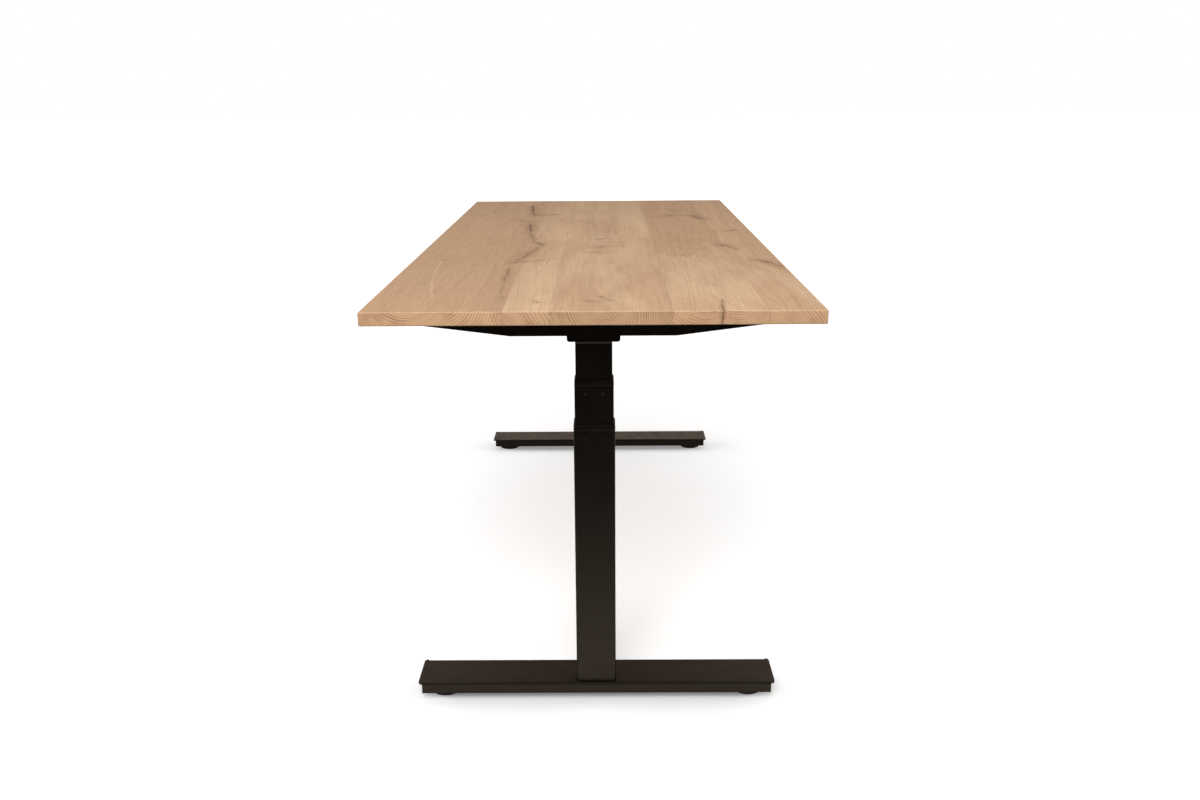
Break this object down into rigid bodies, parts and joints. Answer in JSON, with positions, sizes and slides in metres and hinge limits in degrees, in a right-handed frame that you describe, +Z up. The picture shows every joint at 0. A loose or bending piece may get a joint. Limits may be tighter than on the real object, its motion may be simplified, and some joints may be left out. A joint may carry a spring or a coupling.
{
  "type": "height adjustable standing desk",
  "caption": "Standing desk with a solid wood top on T-legs with telescopic lifting columns, a telescopic cross frame, a control box and a push-button handset.",
  "frame": {"origin": "on the floor under the centre of the desktop", "axes": "+X along the desk to its right end, +Y from the sitter to the rear, +Z up"},
  "size_m": [1.8, 0.8, 0.8025],
  "materials": {
    "oak": "oiled, fine straight grain",
    "black_powder_coat": "fine matte powder coat",
    "collar_plastic": "matte",
    "glide_rubber": "matte",
    "guide_plastic": "matte",
    "bright_steel": "ground",
    "cast_housing": "as cast",
    "motor_case": "zinc plated",
    "black_screws": "black oxide",
    "box_plastic": "moulded, fine texture",
    "handset_plastic": "moulded, fine texture",
    "display_window": "gloss",
    "button_plastic": "matte"
  },
  "bodies": {
    "desk_top": {"tabletop": "oak", "side_bracket_left": "black_powder_coat", "side_bracket_right": "black_powder_coat", "column_head_left": "black_powder_coat", "column_head_right": "black_powder_coat", "inner_tube_left": "black_powder_coat", "inner_tube_right": "black_powder_coat", "travel_nut_left": "guide_plastic", "travel_nut_right": "guide_plastic", "gearbox_left": "cast_housing", "gearbox_right": "cast_housing", "motor_left": "motor_case", "motor_right": "motor_case", "cross_rail_front_left": "black_powder_coat", "cross_rail_front_right": "black_powder_coat", "cross_rail_rear_left": "black_powder_coat", "cross_rail_rear_right": "black_powder_coat", "center_frame": "black_powder_coat", "rail_lock_screws": "black_screws", "rail_bolts": "black_screws", "bracket_screws": "black_screws", "top_screws": "black_screws", "control_box": "box_plastic", "control_box_plate": "box_plastic", "handset_housing": "handset_plastic", "handset_display": "display_window"},
    "button_up": {"button_up": "button_plastic"},
    "button_down": {"button_down": "button_plastic"},
    "button_one": {"button_one": "button_plastic"},
    "button_two": {"button_two": "button_plastic"},
    "button_three": {"button_three": "button_plastic"},
    "button_store": {"button_store": "button_plastic"},
    "drive_tube_left": {"drive_tube_left": "bright_steel"},
    "drive_tube_right": {"drive_tube_right": "bright_steel"},
    "middle_left": {"mid_tube_left": "black_powder_coat", "mid_collar_left": "collar_plastic", "mid_guide_left": "guide_plastic", "bearing_left": "bright_steel"},
    "middle_right": {"mid_tube_right": "black_powder_coat", "mid_collar_right": "collar_plastic", "mid_guide_right": "guide_plastic", "bearing_right": "bright_steel"},
    "hollow_screw_left": {"hollow_screw_left": "bright_steel"},
    "hollow_screw_right": {"hollow_screw_right": "bright_steel"},
    "base": {"outer_tube_left": "black_powder_coat", "outer_tube_right": "black_powder_coat", "outer_collar_left": "collar_plastic", "outer_collar_right": "collar_plastic", "base_plate_left": "black_powder_coat", "base_plate_right": "black_powder_coat", "fixed_screw_left": "bright_steel", "fixed_screw_right": "bright_steel", "foot_left": "black_powder_coat", "foot_right": "black_powder_coat", "foot_bolts_left": "black_screws", "foot_bolts_right": "black_screws"},
    "glide_front_left": {"glide_front_left": "glide_rubber"},
    "glide_front_right": {"glide_front_right": "glide_rubber"},
    "glide_rear_left": {"glide_rear_left": "glide_rubber"},
    "glide_rear_right": {"glide_rear_right": "glide_rubber"}
  },
  "joints": [
    {"name": "lift", "type": "slide", "parent": "base", "child": "desk_top", "axis": [0, 0, 1], "range_m": [-0.13, 0.5]},
    {"name": "middle_lift_left", "type": "slide", "parent": "base", "child": "middle_left", "axis": [0, 0, 1], "range_m": [-0.0655, 0.2505]},
    {"name": "hollow_screw_spin_left", "type": "hinge", "parent": "middle_left", "child": "hollow_screw_left", "pos_m": [-0.774, 0, 0.4], "axis": [0, 0, 1], "range_deg": [-2930, 11255]},
    {"name": "drive_tube_spin_left", "type": "hinge", "parent": "desk_top", "child": "drive_tube_left", "pos_m": [-0.774, 0, 0.4], "axis": [0, 0, 1], "range_deg": [-2930, 11255]},
    {"name": "middle_lift_right", "type": "slide", "parent": "base", "child": "middle_right", "axis": [0, 0, 1], "range_m": [-0.0655, 0.2505]},
    {"name": "hollow_screw_spin_right", "type": "hinge", "parent": "middle_right", "child": "hollow_screw_right", "pos_m": [0.774, 0, 0.4], "axis": [0, 0, 1], "range_deg": [-2930, 11255]},
    {"name": "drive_tube_spin_right", "type": "hinge", "parent": "desk_top", "child": "drive_tube_right", "pos_m": [0.774, 0, 0.4], "axis": [0, 0, 1], "range_deg": [-2930, 11255]},
    {"name": "glide_screw_front_left", "type": "slide", "parent": "base", "child": "glide_front_left", "axis": [0, 0, 1], "range_m": [-0.008, 0]},
    {"name": "glide_screw_front_right", "type": "slide", "parent": "base", "child": "glide_front_right", "axis": [0, 0, 1], "range_m": [-0.008, 0]},
    {"name": "glide_screw_rear_left", "type": "slide", "parent": "base", "child": "glide_rear_left", "axis": [0, 0, 1], "range_m": [-0.008, 0]},
    {"name": "glide_screw_rear_right", "type": "slide", "parent": "base", "child": "glide_rear_right", "axis": [0, 0, 1], "range_m": [-0.008, 0]},
    {"name": "press_up", "type": "slide", "parent": "desk_top", "child": "button_up", "axis": [0, 1, 0], "range_m": [0, 0.0008], "stiffness_N_per_m": 400},
    {"name": "press_down", "type": "slide", "parent": "desk_top", "child": "button_down", "axis": [0, 1, 0], "range_m": [0, 0.0008], "stiffness_N_per_m": 400},
    {"name": "press_one", "type": "slide", "parent": "desk_top", "child": "button_one", "axis": [0, 1, 0], "range_m": [0, 0.0008], "stiffness_N_per_m": 400},
    {"name": "press_two", "type": "slide", "parent": "desk_top", "child": "button_two", "axis": [0, 1, 0], "range_m": [0, 0.0008], "stiffness_N_per_m": 400},
    {"name": "press_three", "type": "slide", "parent": "desk_top", "child": "button_three", "axis": [0, 1, 0], "range_m": [0, 0.0008], "stiffness_N_per_m": 400},
    {"name": "press_store", "type": "slide", "parent": "desk_top", "child": "button_store", "axis": [0, 1, 0], "range_m": [0, 0.0008], "stiffness_N_per_m": 400}
  ],
  "couplings": [
    {"joint": "middle_lift_left", "follows": "lift", "ratio": 0.5},
    {"joint": "hollow_screw_spin_left", "follows": "lift", "rad_per_m": 392.7},
    {"joint": "drive_tube_spin_left", "follows": "lift", "rad_per_m": 392.7},
    {"joint": "middle_lift_right", "follows": "lift", "ratio": 0.5},
    {"joint": "hollow_screw_spin_right", "follows": "lift", "rad_per_m": 392.7},
    {"joint": "drive_tube_spin_right", "follows": "lift", "rad_per_m": 392.7}
  ]
}
